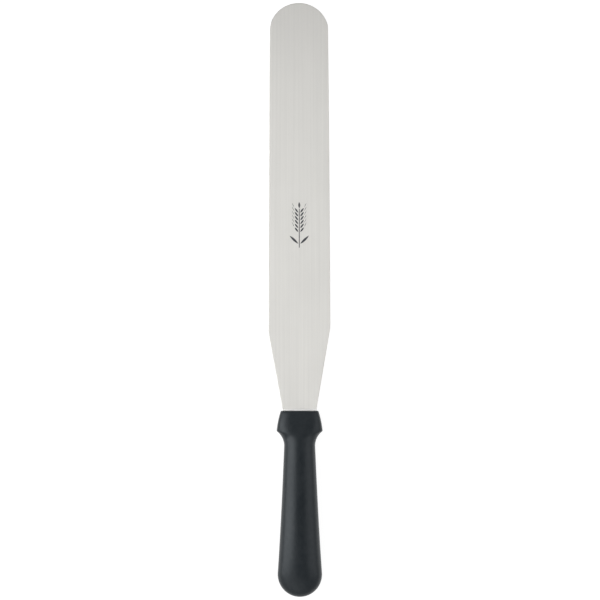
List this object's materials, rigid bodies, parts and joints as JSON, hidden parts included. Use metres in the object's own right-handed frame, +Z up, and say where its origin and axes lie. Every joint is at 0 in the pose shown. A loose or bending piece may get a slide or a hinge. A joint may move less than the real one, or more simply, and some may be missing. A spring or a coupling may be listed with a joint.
{
  "type": "icing spatula",
  "caption": "Long straight icing spatula: flat round-ended brushed steel blade tapering into a moulded black plastic handle with a finger collar and a bulbous butt.",
  "frame": {"origin": "on the table, under the middle of the tool as it lies at rest", "axes": "+Y along the tool from the butt of the handle to the tip of the blade, +Z up, +X across the blade to the side whose shoulder lies nearer the tip"},
  "size_m": [0.0462, 0.4438, 0.0206],
  "materials": {
    "blade": "lengthwise brushed stainless steel",
    "handle": "satin moulded black polypropylene"
  },
  "bodies": {
    "root": {"blade": "blade", "handle": "handle"}
  },
  "joints": []
}
